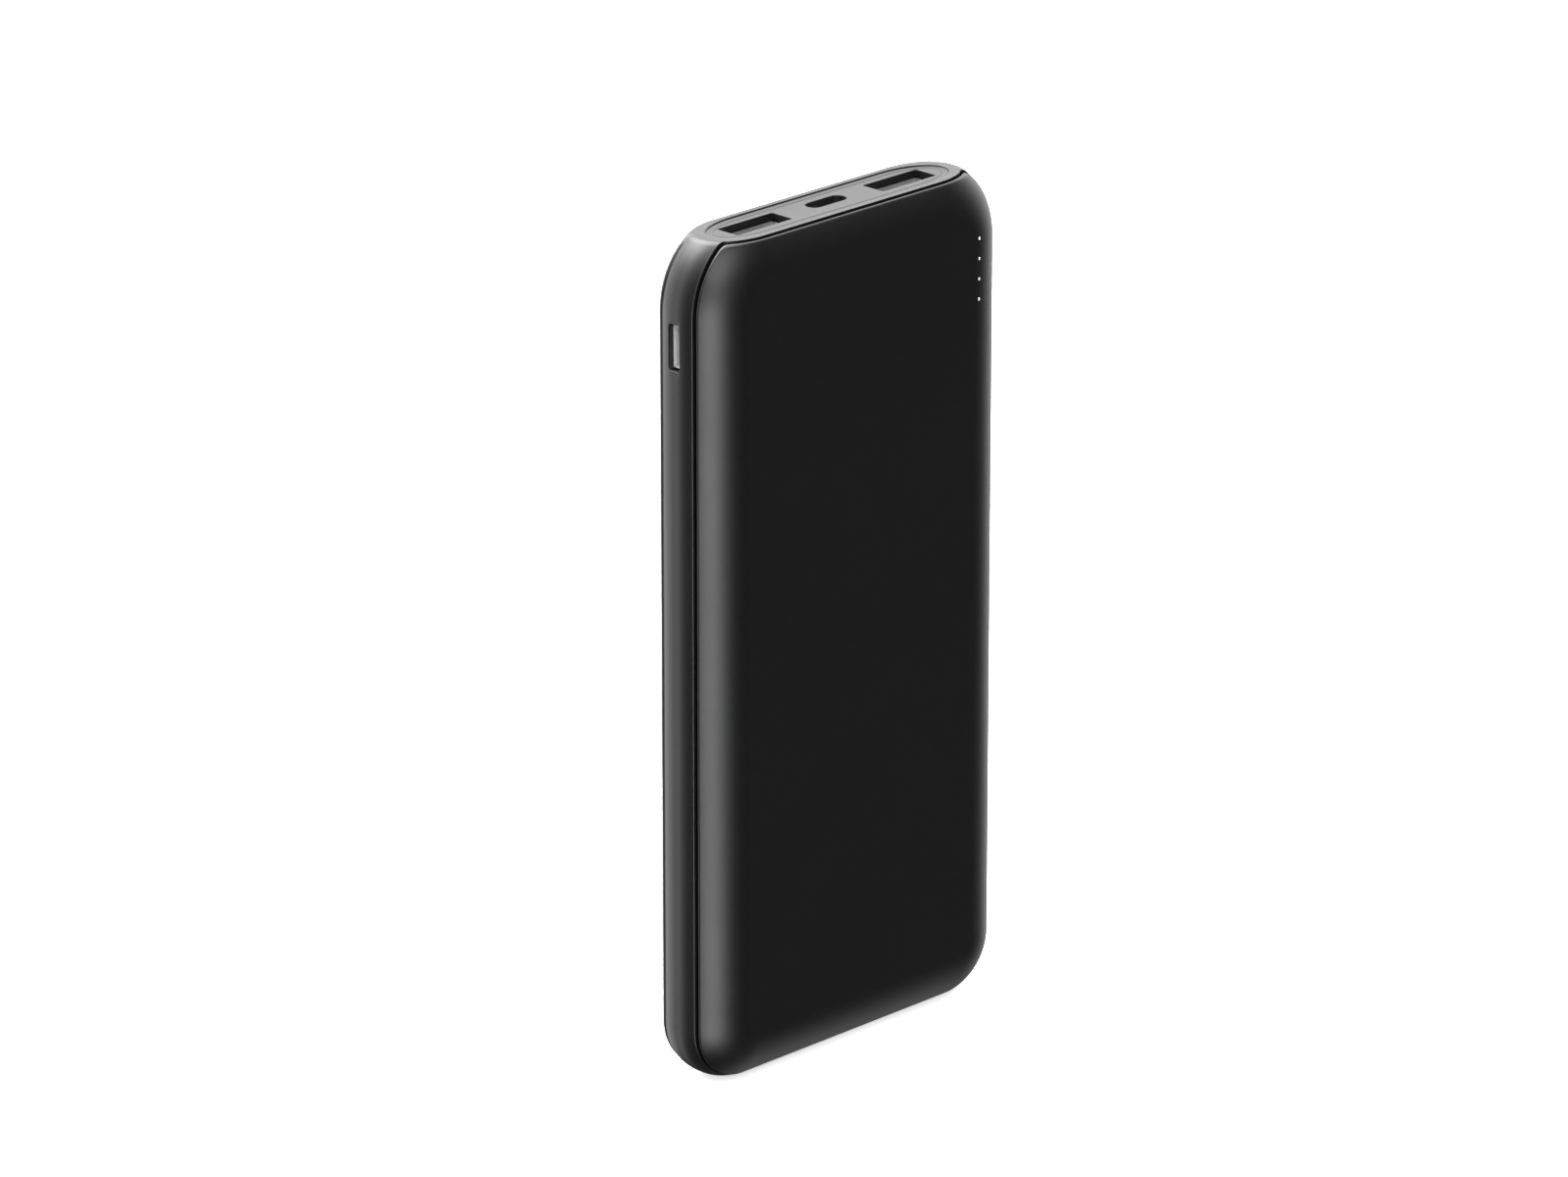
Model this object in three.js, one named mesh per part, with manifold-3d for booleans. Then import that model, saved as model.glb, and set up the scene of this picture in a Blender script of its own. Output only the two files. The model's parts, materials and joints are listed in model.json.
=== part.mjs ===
// Slim upright power bank: a band-shaped mid frame between two pillow-shaped covers, a recessed
// port plate on top, two pouch cells and a circuit board inside.
// Millimetres, +Z up, front face towards -Y, origin at the middle of the underside.
import * as THREE from 'three';
import { mergeVertices } from 'three/addons/utils/BufferGeometryUtils.js';
import Module from 'manifold-3d';

const wasm = await Module();
wasm.setup();

// ---- driving dimensions ---------------------------------------------------------------------
const HALF_WIDTH = 36.4;
const HEIGHT = 151;
const CROWN = 3.1; // how far the pillow shape would rise above the flat top that cuts it
const TOP_RADIUS = 15.4;
const BOTTOM_RADIUS = 11.2;
const CORNER_STEPS = 5; // an arc gets twice this many segments

const BAND_HALF = 3.5; // half the width of the mid frame's visible band
const BAND_SAG = 0.6; // how far the band falls away from its middle to its edges
const BAND_FLAT = 0.5; // half width of the band's flat middle
const BAND_EDGE = 0.2; // edge break of the band beside the groove
const FOOT = { halfWidth: 24, halfDepth: 1.8 }; // flat strip under the band, which it stands on
const GROOVE = 0.35;
const EDGE_START = Math.PI * (33 / 180); // a cover leaves the groove already turned this far
const EDGE_DEPTH = 4.75; // how deep the rounding of a cover's edge is
const EDGE_RADIUS = EDGE_DEPTH / (1 - Math.sin(EDGE_START));
const EDGE_RUN = EDGE_RADIUS * Math.cos(EDGE_START); // how far in from its rim it reaches
const EDGE_STEPS = 8;
const COVER_WALL = 1.2;
const FRAME_WALL = 3.8;
const GAP = 0.3;

const TOP_BLOCK = 3.6; // height of the frame's top block
const BACK_LIP = 1.2; // height of the lip that covers the back cover's top edge
const RIM_WALL = 0.5; // how far inside the outer surface the front of the rim lies
const RIM_ROOM = 0.15; // the same for the cover's face behind the rim
const FRONT_STEP = 0.35; // how far the front cover's edge lies below the rim
const PLATE_DROP = 0.22; // how far the port plate lies below the rim
const PLATE_THICKNESS = 1.2;
const RECESS_DEPTH = PLATE_DROP + PLATE_THICKNESS;
const RECESS = { straight: 18, endRun: 9.9, halfDepth: 5.15 };
const PLATE_GAP = 0.15;

const USB_A = { x: 17.35, y: 0.15, width: 13.0, depth: 4.8 };
const USB_C = { x: 0, y: 0.6, width: 8.65, depth: 3.1 };
const MICRO_USB = { y: 0.25, z: 133.4, width: 8.1, depth: 2.6 };
const BUTTON = { z: 133.6, halfLength: 5.0, halfDepth: 1.4 };
const LED = { x: 28.0, z: 134.6, pitch: 3.61, count: 4 };

const BOARD = { front: 2.35, thickness: 1.0, halfWidth: 31.5, bottom: 111.5, top: 144.4 };
const CELL = { halfWidth: 28.5, bottom: 7, top: 105, near: 0.25, thickness: 6.4 };
const SHELL_WALL = 0.3;

// ---- solids ---------------------------------------------------------------------------------
function solid(geometry) {
  const bare = geometry.clone();
  bare.deleteAttribute('normal');
  bare.deleteAttribute('uv');
  const merged = mergeVertices(bare, 1e-5);
  const vertProperties = new Float32Array(merged.attributes.position.array);
  const triVerts = new Uint32Array(merged.index.array);
  return new wasm.Manifold(new wasm.Mesh({ numProp: 3, vertProperties, triVerts }));
}

function box(x0, x1, y0, y1, z0, z1) {
  const geometry = new THREE.BoxGeometry(x1 - x0, y1 - y0, z1 - z0);
  geometry.translate((x0 + x1) / 2, (y0 + y1) / 2, (z0 + z1) / 2);
  return solid(geometry);
}

function boxAt(centre, size) {
  const [x, y, z] = centre;
  const [w, d, h] = size;
  return box(x - w / 2, x + w / 2, y - d / 2, y + d / 2, z - h / 2, z + h / 2);
}

function roundedRect(width, height, radius, cx = 0, cy = 0) {
  const shape = new THREE.Shape();
  const x = width / 2 - radius;
  const y = height / 2 - radius;
  shape.absarc(cx + x, cy - y, radius, -Math.PI / 2, 0);
  shape.absarc(cx + x, cy + y, radius, 0, Math.PI / 2);
  shape.absarc(cx - x, cy + y, radius, Math.PI / 2, Math.PI);
  shape.absarc(cx - x, cy - y, radius, Math.PI, 1.5 * Math.PI);
  return shape;
}

// Extrudes a shape drawn in X and Y upwards from z0 to z1.
function upright(shape, z0, z1, steps = 3) {
  const options = { depth: z1 - z0, bevelEnabled: false, curveSegments: steps };
  return solid(new THREE.ExtrudeGeometry(shape, options).translate(0, 0, z0));
}

// Extrudes a shape drawn in Y and Z along X, from x0 to x1.
function sideways(shape, x0, x1, steps = 3) {
  const options = { depth: x1 - x0, bevelEnabled: false, curveSegments: steps };
  const geometry = new THREE.ExtrudeGeometry(shape, options);
  const toYZX = new THREE.Matrix4().set(0, 0, 1, x0, 1, 0, 0, 0, 0, 1, 0, 0, 0, 0, 0, 1);
  return solid(geometry.applyMatrix4(toYZX));
}

// Extrudes a shape drawn in X and Z along Y, from y0 to y1.
function frontToBack(shape, y0, y1, steps = 3) {
  const options = { depth: y1 - y0, bevelEnabled: false, curveSegments: steps };
  const geometry = new THREE.ExtrudeGeometry(shape, options);
  geometry.rotateX(Math.PI / 2);
  return solid(geometry.translate(0, y1, 0));
}

// ---- the pillow -----------------------------------------------------------------------------
// The body's outline seen from the front, drawn inwards by an inset.
function outline(inset) {
  const shape = new THREE.Shape();
  const low = Math.max(BOTTOM_RADIUS - inset, 0.4);
  const high = Math.max(TOP_RADIUS - inset, 0.4);
  const side = HALF_WIDTH - inset;
  const top = HEIGHT + CROWN - inset;
  shape.absarc(side - low, inset + low, low, -Math.PI / 2, 0);
  shape.absarc(side - high, top - high, high, 0, Math.PI / 2);
  shape.absarc(high - side, top - high, high, Math.PI / 2, Math.PI);
  shape.absarc(low - side, inset + low, low, Math.PI, 1.5 * Math.PI);
  return shape.getPoints(CORNER_STEPS);
}

// A closed solid through outlines at several depths. Each level is [y, inset], by rising y.
function loft(levels) {
  const rings = levels.map(([, inset]) => outline(inset));
  const count = rings[0].length;
  const positions = [];
  rings.forEach((ring, k) => ring.forEach((p) => positions.push(p.x, levels[k][0], p.y)));
  const index = [];
  for (let k = 0; k + 1 < rings.length; k += 1) {
    for (let i = 0; i < count; i += 1) {
      const a = k * count + i;
      const b = k * count + ((i + 1) % count);
      index.push(a, b, a + count, b, b + count, a + count);
    }
  }
  const last = (rings.length - 1) * count;
  THREE.ShapeUtils.triangulateShape(rings[0], []).forEach(([a, b, c]) => {
    index.push(a, c, b);
    index.push(last + a, last + b, last + c);
  });
  const geometry = new THREE.BufferGeometry();
  geometry.setAttribute('position', new THREE.Float32BufferAttribute(positions, 3));
  geometry.setIndex(index);
  return solid(outwards(geometry));
}

// Turns a closed geometry's triangles so that they face out.
function outwards(geometry) {
  const p = geometry.attributes.position;
  const corner = (i) => new THREE.Vector3().fromBufferAttribute(p, geometry.index.getX(i));
  let volume = 0;
  for (let i = 0; i < geometry.index.count; i += 3) {
    volume += corner(i).dot(corner(i + 1).cross(corner(i + 2)));
  }
  if (volume < 0) {
    geometry.index.array.reverse();
  }
  return geometry;
}

// Levels of the rounded edge of a cover, on both sides, drawn inwards by a wall.
function edgeLevels(wall) {
  const half = [];
  const centreY = BAND_HALF + GROOVE + EDGE_DEPTH - EDGE_RADIUS;
  for (let k = 0; k <= EDGE_STEPS; k += 1) {
    const angle = EDGE_START + (k / EDGE_STEPS) * (Math.PI / 2 - EDGE_START);
    const y = centreY + (EDGE_RADIUS - wall) * Math.sin(angle);
    half.push([y, BAND_SAG + EDGE_RUN - (EDGE_RADIUS - wall) * Math.cos(angle)]);
  }
  return [...half.map(([y, inset]) => [-y, inset]).reverse(), ...half];
}

// Levels of the band: a shallow curve, with an edge break on both sides.
function bandLevels() {
  const steps = 4;
  const shoulder = BAND_HALF - BAND_EDGE;
  const half = [];
  for (let k = 0; k <= steps; k += 1) {
    const part = k / steps;
    half.push([BAND_FLAT + (shoulder - BAND_FLAT) * part, BAND_SAG * part * part]);
  }
  half.push([BAND_HALF, BAND_SAG + BAND_EDGE]);
  return [...half.map(([y, inset]) => [-y, inset]).reverse(), ...half];
}

// The outline of the flat top, in X and Y, where it cuts the pillow drawn inwards by a wall.
function topShape(wall) {
  const centreX = HALF_WIDTH - TOP_RADIUS;
  const rise = TOP_RADIUS - CROWN;
  const side = edgeLevels(wall)
    .filter(([, inset]) => inset < CROWN)
    .map(([y, inset]) => [centreX + Math.sqrt((TOP_RADIUS - inset) ** 2 - rise ** 2), y]);
  const edgeY = BAND_HALF + GROOVE + EDGE_DEPTH - EDGE_RADIUS;
  const turn = Math.acos((BAND_SAG + EDGE_RUN - CROWN) / (EDGE_RADIUS - wall));
  const endY = edgeY + (EDGE_RADIUS - wall) * Math.sin(turn);
  const right = [[centreX, -endY], ...side, [centreX, endY]];
  const left = right.map(([x, y]) => [-x, y]).reverse();
  return new THREE.Shape([...right, ...left].map(([x, y]) => new THREE.Vector2(x, y)));
}

const FAR = 100;
const belowTop = (z) => box(-FAR, FAR, -FAR, FAR, -FAR, z);
const plateau = (halfDepth, inset) => loft([[-halfDepth, inset], [halfDepth, inset]]);
const pillow = (wall) => loft(edgeLevels(wall));

// ---- frame and covers -----------------------------------------------------------------------
function recessShape(shrink) {
  const run = RECESS.endRun - shrink;
  const rise = RECESS.halfDepth - shrink;
  const shape = new THREE.Shape();
  const turn = Math.PI / 2;
  shape.absellipse(RECESS.straight, 0, run, rise, -turn, turn);
  shape.absellipse(-RECESS.straight, 0, run, rise, turn, 3 * turn);
  return shape;
}

function microOpening(grow) {
  const shape = roundedRect(MICRO_USB.depth + grow, MICRO_USB.width + grow, 0.7);
  return sideways(shape, -HALF_WIDTH - 1, FRAME_WALL + 1 - HALF_WIDTH).translate(
    [0, MICRO_USB.y, MICRO_USB.z],
  );
}

const BUTTON_LIP = 35.0; // where the button's opening widens behind its lip
const BUTTON_POCKET = 0.6;

function buttonOpening() {
  const slot = roundedRect(2 * BUTTON.halfDepth, 2 * BUTTON.halfLength, BUTTON.halfDepth - 0.1);
  const wide = roundedRect(
    2 * (BUTTON.halfDepth + BUTTON_POCKET),
    2 * (BUTTON.halfLength + 1.0),
    BUTTON.halfDepth,
  );
  const outer = sideways(slot, BUTTON_LIP - 0.1, HALF_WIDTH + 1, 5);
  const inner = sideways(wide, HALF_WIDTH - FRAME_WALL - 1, BUTTON_LIP, 5);
  return outer.add(inner).translate([0, 0, BUTTON.z]);
}

const SCREW = { x: 29.6, z: 115, head: 1.1, shank: 0.45 };
const RIB_INSET = 2.75;
const RIB_HALF = 4.3;

function midFrame() {
  const ring = loft(bandLevels());
  const rib = plateau(RIB_HALF, RIB_INSET);
  const { halfWidth, halfDepth } = FOOT;
  const foot = box(-halfWidth, halfWidth, -halfDepth, halfDepth, 0, 1);
  const core = upright(topShape(RIM_WALL), HEIGHT - TOP_BLOCK, HEIGHT);
  const lip = pillow(0).intersect(box(-FAR, FAR, 0, FAR, HEIGHT - BACK_LIP, HEIGHT + FAR));
  const hollow = plateau(FAR, FRAME_WALL).intersect(belowTop(HEIGHT - TOP_BLOCK));
  let frame = ring.add(rib).add(foot).subtract(hollow).add(core).add(lip);
  frame = frame.intersect(belowTop(HEIGHT));
  frame = frame.subtract(upright(recessShape(0), HEIGHT - RECESS_DEPTH, HEIGHT + 1, 10));
  for (const side of [-1, 1]) {
    const well = roundedRect(13.9, 6.1, 0.5, side * USB_A.x, USB_A.y);
    frame = frame.subtract(upright(well, HEIGHT - TOP_BLOCK - 1, HEIGHT));
    const tab = box(27.6, 33.4, BOARD.front + 1.1, RIB_HALF, SCREW.z - 3, SCREW.z + 3);
    const bore = frontToBack(circle(SCREW.shank + 0.1), 0, 6).translate([SCREW.x, 0, SCREW.z]);
    const placed = tab.subtract(bore);
    frame = frame.add(side > 0 ? placed : placed.mirror([1, 0, 0]));
  }
  frame = frame.subtract(upright(roundedRect(10.2, 4.2, 2, USB_C.x, USB_C.y), 140, HEIGHT));
  return frame.subtract(microOpening(0)).subtract(buttonOpening());
}

function circle(radius) {
  return new THREE.Shape().absarc(0, 0, radius, 0, 2 * Math.PI);
}

const lampHeights = Array.from(
  { length: LED.count },
  (_, k) => LED.z + (k - (LED.count - 1) / 2) * LED.pitch,
);
const PIN = { width: 0.34, height: 0.54, clearance: 0.05 };

function coverShell() {
  const outer = pillow(0);
  const inner = pillow(COVER_WALL).add(plateau(BAND_HALF + GROOVE + 0.1, BAND_SAG + COVER_WALL));
  const rimRoom = upright(topShape(RIM_ROOM), HEIGHT - TOP_BLOCK - GAP, HEIGHT + 1);
  return outer.subtract(inner).subtract(rimRoom);
}

function frontCover() {
  const half = box(-FAR, FAR, -FAR, -BAND_HALF - GROOVE, -FAR, HEIGHT - FRONT_STEP);
  let cover = coverShell().intersect(half);
  for (const z of lampHeights) {
    const hole = [PIN.width + 2 * PIN.clearance, 10, PIN.height + 2 * PIN.clearance];
    cover = cover.subtract(boxAt([LED.x, -9, z], hole));
  }
  return cover;
}

function backCover() {
  const half = box(-FAR, FAR, BAND_HALF + GROOVE, FAR, -FAR, HEIGHT - BACK_LIP - GAP);
  return coverShell().intersect(half);
}

function portPlate() {
  const bottom = HEIGHT - PLATE_DROP - PLATE_THICKNESS;
  let plate = upright(recessShape(PLATE_GAP), bottom, HEIGHT - PLATE_DROP, 10);
  for (const side of [-1, 1]) {
    const hole = roundedRect(USB_A.width, USB_A.depth, 0.25, side * USB_A.x, USB_A.y);
    plate = plate.subtract(upright(hole, bottom - 1, HEIGHT));
  }
  const radius = USB_C.depth / 2 - 0.01;
  const oval = roundedRect(USB_C.width, USB_C.depth, radius, USB_C.x, USB_C.y);
  return plate.subtract(upright(oval, bottom - 1, HEIGHT, 6));
}

// ---- connectors -----------------------------------------------------------------------------
const PORT_TOP = HEIGHT - 1.75; // the mouths of the upright connectors
const USB_A_LENGTH = 14;
const USB_A_SHELL = { width: 13.1, depth: 5.4 };
const USB_C_LENGTH = 7.6;
const USB_C_SHELL = { width: 8.9, depth: 3.26 };

function usbAShell(x) {
  const { width, depth } = USB_A_SHELL;
  const wall = 2 * SHELL_WALL;
  const bottom = PORT_TOP - USB_A_LENGTH;
  const outer = upright(roundedRect(width, depth, 0.5, x, USB_A.y), bottom, PORT_TOP);
  const room = roundedRect(width - wall, depth - wall, 0.25, x, USB_A.y);
  return outer.subtract(upright(room, bottom + SHELL_WALL, PORT_TOP + 1));
}

function usbATongue(x) {
  const bottom = PORT_TOP - USB_A_LENGTH + SHELL_WALL + 0.1;
  const base = boxAt([x, USB_A.y, bottom + 1.5], [12.2, 4.5, 3]);
  const tongue = boxAt([x, USB_A.y - 0.85, bottom + 6.2], [11.1, 1.8, 11.4]);
  return base.add(tongue);
}

function usbAContact(x, offset) {
  const face = USB_A.y + 0.1;
  return box(x + offset - 0.5, x + offset + 0.5, face, face + 0.15, PORT_TOP - 9, PORT_TOP - 2.4);
}

function usbCShell() {
  const { width, depth } = USB_C_SHELL;
  const bottom = PORT_TOP - USB_C_LENGTH;
  const outer = upright(roundedRect(width, depth, 1.6, USB_C.x, USB_C.y), bottom, PORT_TOP, 5);
  const room = roundedRect(width - 0.5, depth - 0.5, 1.37, USB_C.x, USB_C.y);
  return outer.subtract(upright(room, bottom + SHELL_WALL, PORT_TOP + 1, 5));
}

function usbCTongue() {
  const bottom = PORT_TOP - USB_C_LENGTH + SHELL_WALL + 0.1;
  const base = upright(roundedRect(8.1, 2.5, 1.2, USB_C.x, USB_C.y), bottom, bottom + 1.5);
  return base.add(boxAt([USB_C.x, USB_C.y, bottom + 3.2], [6.7, 0.7, 5.6]));
}

// The side socket's outline in Y and Z: square corners to the back, cut corners to the front.
function sideSocketShape(shrink) {
  const front = -1.1 + shrink;
  const back = 1.1 - shrink;
  const wide = 3.75 - shrink;
  const narrow = 2.85 - shrink / 2;
  const points = [[front, -narrow], [front + 0.8, -wide], [back, -wide]];
  const mirrored = points.map(([y, z]) => [y, -z]).reverse();
  return new THREE.Shape([...points, ...mirrored].map(([y, z]) => new THREE.Vector2(y, z)));
}

const SIDE_SOCKET = { mouth: -35.3, length: 5.6 };

function microShell() {
  const { mouth, length } = SIDE_SOCKET;
  const outer = sideways(sideSocketShape(0), mouth, mouth + length);
  const room = sideways(sideSocketShape(0.25), mouth - 1, mouth + length - 0.3);
  return outer.subtract(room).translate([0, MICRO_USB.y, MICRO_USB.z]);
}

function microTongue() {
  const back = SIDE_SOCKET.mouth + SIDE_SOCKET.length - 0.4;
  const base = box(back - 1, back, -0.7, 0.75, -2.6, 2.6);
  const tongue = box(back - 4, back - 0.9, 0.15, 0.7, -1.9, 1.9);
  return base.add(tongue).translate([0, MICRO_USB.y, MICRO_USB.z]);
}

// ---- electronics ----------------------------------------------------------------------------
function circuitBoard() {
  const back = BOARD.front + BOARD.thickness;
  const middle = (BOARD.bottom + BOARD.top) / 2;
  const shape = roundedRect(2 * BOARD.halfWidth, BOARD.top - BOARD.bottom, 4, 0, -middle);
  let board = frontToBack(shape, BOARD.front, back).mirror([0, 0, 1]);
  for (const side of [-1, 1]) {
    const notch = [USB_A_SHELL.width + 2 * GAP, 4, 26];
    board = board.subtract(boxAt([side * USB_A.x, BOARD.front, BOARD.top + 3.4], notch));
    const hole = frontToBack(circle(SCREW.shank + 0.15), 0, 6);
    board = board.subtract(hole.translate([side * SCREW.x, 0, SCREW.z]));
  }
  return board;
}

// A part lying on the front of the board, a little clear of it.
function onBoard(x, z, width, height, thickness) {
  const back = BOARD.front - 0.05;
  return box(x - width / 2, x + width / 2, back - thickness, back, z - height / 2, z + height / 2);
}

function inductor(x, z) {
  const core = frontToBack(roundedRect(6.6, 6.6, 1.4), -1.35, BOARD.front - 0.05);
  return core.translate([x, 0, z]);
}

function boardScrew(side) {
  const head = frontToBack(circle(SCREW.head), BOARD.front - 0.75, BOARD.front - 0.05, 4);
  const shank = frontToBack(circle(SCREW.shank), BOARD.front - 0.1, 4.6, 4);
  return head.add(shank).translate([side * SCREW.x, 0, SCREW.z]);
}

function lightGuide() {
  const reach = 8.5;
  const low = lampHeights[0] - 0.8;
  const high = lampHeights[LED.count - 1] + 0.8;
  let guide = box(LED.x - 0.4, LED.x + 0.25, -1.2, -0.4, low, high);
  for (const z of lampHeights) {
    guide = guide.add(boxAt([LED.x, -reach / 2 - 0.4, z], [PIN.width, reach - 0.8, PIN.height]));
    guide = guide.add(boxAt([LED.x, 0, z], [PIN.width, 1.6, PIN.height]));
  }
  return guide;
}

const SWITCH = { left: 30.1, right: 31.9, pocket: 1.0 };

function switchBody() {
  const back = BOARD.front - 0.05;
  const body = box(SWITCH.left, SWITCH.right, -1.2, back, BUTTON.z - 2.3, BUTTON.z + 2.3);
  const pocket = boxAt([SWITCH.right, 0, BUTTON.z], [2 * SWITCH.pocket, 1.6, 1.6]);
  return body.subtract(pocket);
}

function powerButton() {
  const face = HALF_WIDTH - 0.05;
  const capShape = roundedRect(2.2, 2 * BUTTON.halfLength - 0.6, 1.0);
  const flangeShape = roundedRect(3.4, 2 * BUTTON.halfLength + 1.2, 1.3);
  const cap = sideways(capShape, BUTTON_LIP - 0.4, face, 5);
  const flange = sideways(flangeShape, BUTTON_LIP - 1.2, BUTTON_LIP - 0.3, 5);
  const stem = box(32.65, BUTTON_LIP - 1.1, -0.9, 0.9, -1.2, 1.2);
  return cap.add(flange).add(stem).translate([0, 0, BUTTON.z]);
}

// ---- cells ----------------------------------------------------------------------------------
function pouchCell(side) {
  const middle = (CELL.bottom + CELL.top) / 2;
  const height = CELL.top - CELL.bottom;
  const bevel = 0.8;
  const shape = roundedRect(2 * (CELL.halfWidth - bevel), height - 2 * bevel, 1.5, 0, middle);
  const options = {
    depth: CELL.thickness - 2 * bevel,
    bevelSize: bevel,
    bevelThickness: bevel,
    bevelSegments: 2,
    curveSegments: 3,
  };
  const body = new THREE.ExtrudeGeometry(shape, options);
  const toFront = new THREE.Matrix4().makeRotationX(Math.PI / 2);
  const centred = body.translate(0, 0, bevel - CELL.thickness / 2).applyMatrix4(toFront);
  const centreY = side * (CELL.near + CELL.thickness / 2);
  const terrace = box(-27, 27, -0.2, 0.2, CELL.top - 1, CELL.top + 2.4);
  return solid(centred).add(terrace).translate([0, centreY, 0]);
}

const TAB = { x: 9, width: 6, top: 110.4 };

function cellTab(side, polarity) {
  const y = side * (CELL.near + CELL.thickness / 2);
  const x = polarity * TAB.x;
  const low = CELL.top + 2.45;
  return box(x - TAB.width / 2, x + TAB.width / 2, y - 0.1, y + 0.1, low, TAB.top);
}

function tabLink(polarity) {
  const reach = CELL.near + CELL.thickness / 2 + 0.3;
  const x = polarity * TAB.x;
  const low = TAB.top + 0.05;
  return box(x - TAB.width / 2, x + TAB.width / 2, -reach, reach, low, low + 0.2);
}

function batteryLead(polarity) {
  const x = polarity * TAB.x;
  const route = new THREE.CatmullRomCurve3([
    new THREE.Vector3(x, -1.9, TAB.top + 1.1),
    new THREE.Vector3(x, -1.9, TAB.top + 2.6),
    new THREE.Vector3(x * 0.98, -1.0, TAB.top + 4.2),
    new THREE.Vector3(x * 0.96, 0.6, TAB.top + 5.2),
    new THREE.Vector3(x * 0.96, BOARD.front - 0.1, TAB.top + 5.3),
  ]);
  const options = { steps: 12, curveSegments: 4, extrudePath: route };
  return solid(outwards(mergeVertices(plain(new THREE.ExtrudeGeometry(circle(0.75), options)))));
}

function plain(geometry) {
  geometry.deleteAttribute('normal');
  geometry.deleteAttribute('uv');
  return geometry;
}

function cellPad(side) {
  const low = CELL.near + CELL.thickness + 0.05;
  const y = side > 0 ? [low, low + 0.55] : [-low - 0.55, -low];
  return box(-20, 20, y[0], y[1], 20, 92);
}

// ---- materials ------------------------------------------------------------------------------
function finish(color, roughness, metalness = 0) {
  return new THREE.MeshStandardMaterial({ color, roughness, metalness });
}

const softBlack = finish(0x1b1b1d, 0.55);
const plateBlack = finish(0x202022, 0.5);
const insideBlack = finish(0x0c0c0d, 0.6);
const steel = finish(0xb9bbbe, 0.3, 1);
const gold = finish(0xc9a24a, 0.3, 1);
const copper = finish(0xb87245, 0.4, 1);
const pouch = finish(0xb4b7ba, 0.35, 0.8);
const foam = finish(0x3a3b3d, 0.9);
const boardGreen = finish(0x1d5a33, 0.5);
const chipBlack = finish(0x17181a, 0.45);
const ceramic = finish(0xa98f6e, 0.6);
const clear = finish(0xf2f4f6, 0.3);
const redLead = finish(0xa51c1c, 0.5);
const blackLead = finish(0x151515, 0.5);

// ---- assembly -------------------------------------------------------------------------------
const powerBank = new THREE.Group();

function place(name, manifold, material) {
  const { vertProperties, triVerts } = manifold.getMesh();
  const geometry = new THREE.BufferGeometry();
  geometry.setAttribute('position', new THREE.BufferAttribute(vertProperties, 3));
  geometry.setIndex(new THREE.BufferAttribute(triVerts, 1));
  const mesh = new THREE.Mesh(geometry, material);
  mesh.name = name;
  powerBank.add(mesh);
}

place('mid_frame', midFrame(), softBlack);
place('front_cover', frontCover(), softBlack);
place('back_cover', backCover(), softBlack);
place('port_plate', portPlate(), plateBlack);

const CONTACT_OFFSETS = [-3.5, -1.0, 1.0, 3.5];
for (const [label, side] of [['left', -1], ['right', 1]]) {
  const x = side * USB_A.x;
  place(`usb_a_shell_${label}`, usbAShell(x), steel);
  place(`usb_a_tongue_${label}`, usbATongue(x), insideBlack);
  CONTACT_OFFSETS.forEach((offset, k) => {
    place(`usb_a_contact_${label}_${k + 1}`, usbAContact(x, offset), gold);
  });
  place(`board_screw_${label}`, boardScrew(side), steel);
}
place('usb_c_shell', usbCShell(), steel);
place('usb_c_tongue', usbCTongue(), insideBlack);
place('micro_usb_shell', microShell(), steel);
place('micro_usb_tongue', microTongue(), insideBlack);

place('circuit_board', circuitBoard(), boardGreen);
place('boost_inductor', inductor(-2.5, 120.8), copper);
place('charge_inductor', inductor(7.5, 120.8), copper);
place('controller_chip', onBoard(-3, 129, 6, 6, 0.9), chipBlack);
place('charger_chip', onBoard(-14.5, 125, 5, 4, 1.4), chipBlack);
place('protection_chip', onBoard(15, 117, 4, 5, 1.3), chipBlack);
for (const [k, x] of [4, 7.5].entries()) {
  place(`capacitor_${k + 1}`, onBoard(x, 129, 1.7, 3.2, 1.5), ceramic);
}
lampHeights.forEach((z, k) => place(`led_${k + 1}`, onBoard(LED.x, z, 0.8, 1.6, 0.6), clear));
place('light_guide', lightGuide(), clear);
place('switch_body', switchBody(), steel);
place('switch_plunger', boxAt([32.0, 0, BUTTON.z], [1.2, 1.2, 1.2]), chipBlack);
place('power_button', powerButton(), softBlack);

for (const [label, side] of [['front', -1], ['back', 1]]) {
  place(`cell_${label}`, pouchCell(side), pouch);
  place(`cell_pad_${label}`, cellPad(side), foam);
  place(`cell_${label}_tab_positive`, cellTab(side, -1), steel);
  place(`cell_${label}_tab_negative`, cellTab(side, 1), steel);
}
place('cell_spacer', box(-24, 24, -0.2, 0.2, 14, 98), foam);
place('tab_link_positive', tabLink(-1), steel);
place('tab_link_negative', tabLink(1), steel);
place('battery_lead_positive', batteryLead(-1), redLead);
place('battery_lead_negative', batteryLead(1), blackLead);

export default powerBank;
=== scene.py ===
"""Looks for a slim matte black power bank: smooth covers, band frame, port plate and sockets.

Everything is in metres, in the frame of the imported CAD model: +Z up, front face towards -Y.
"""

import json
import math

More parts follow.
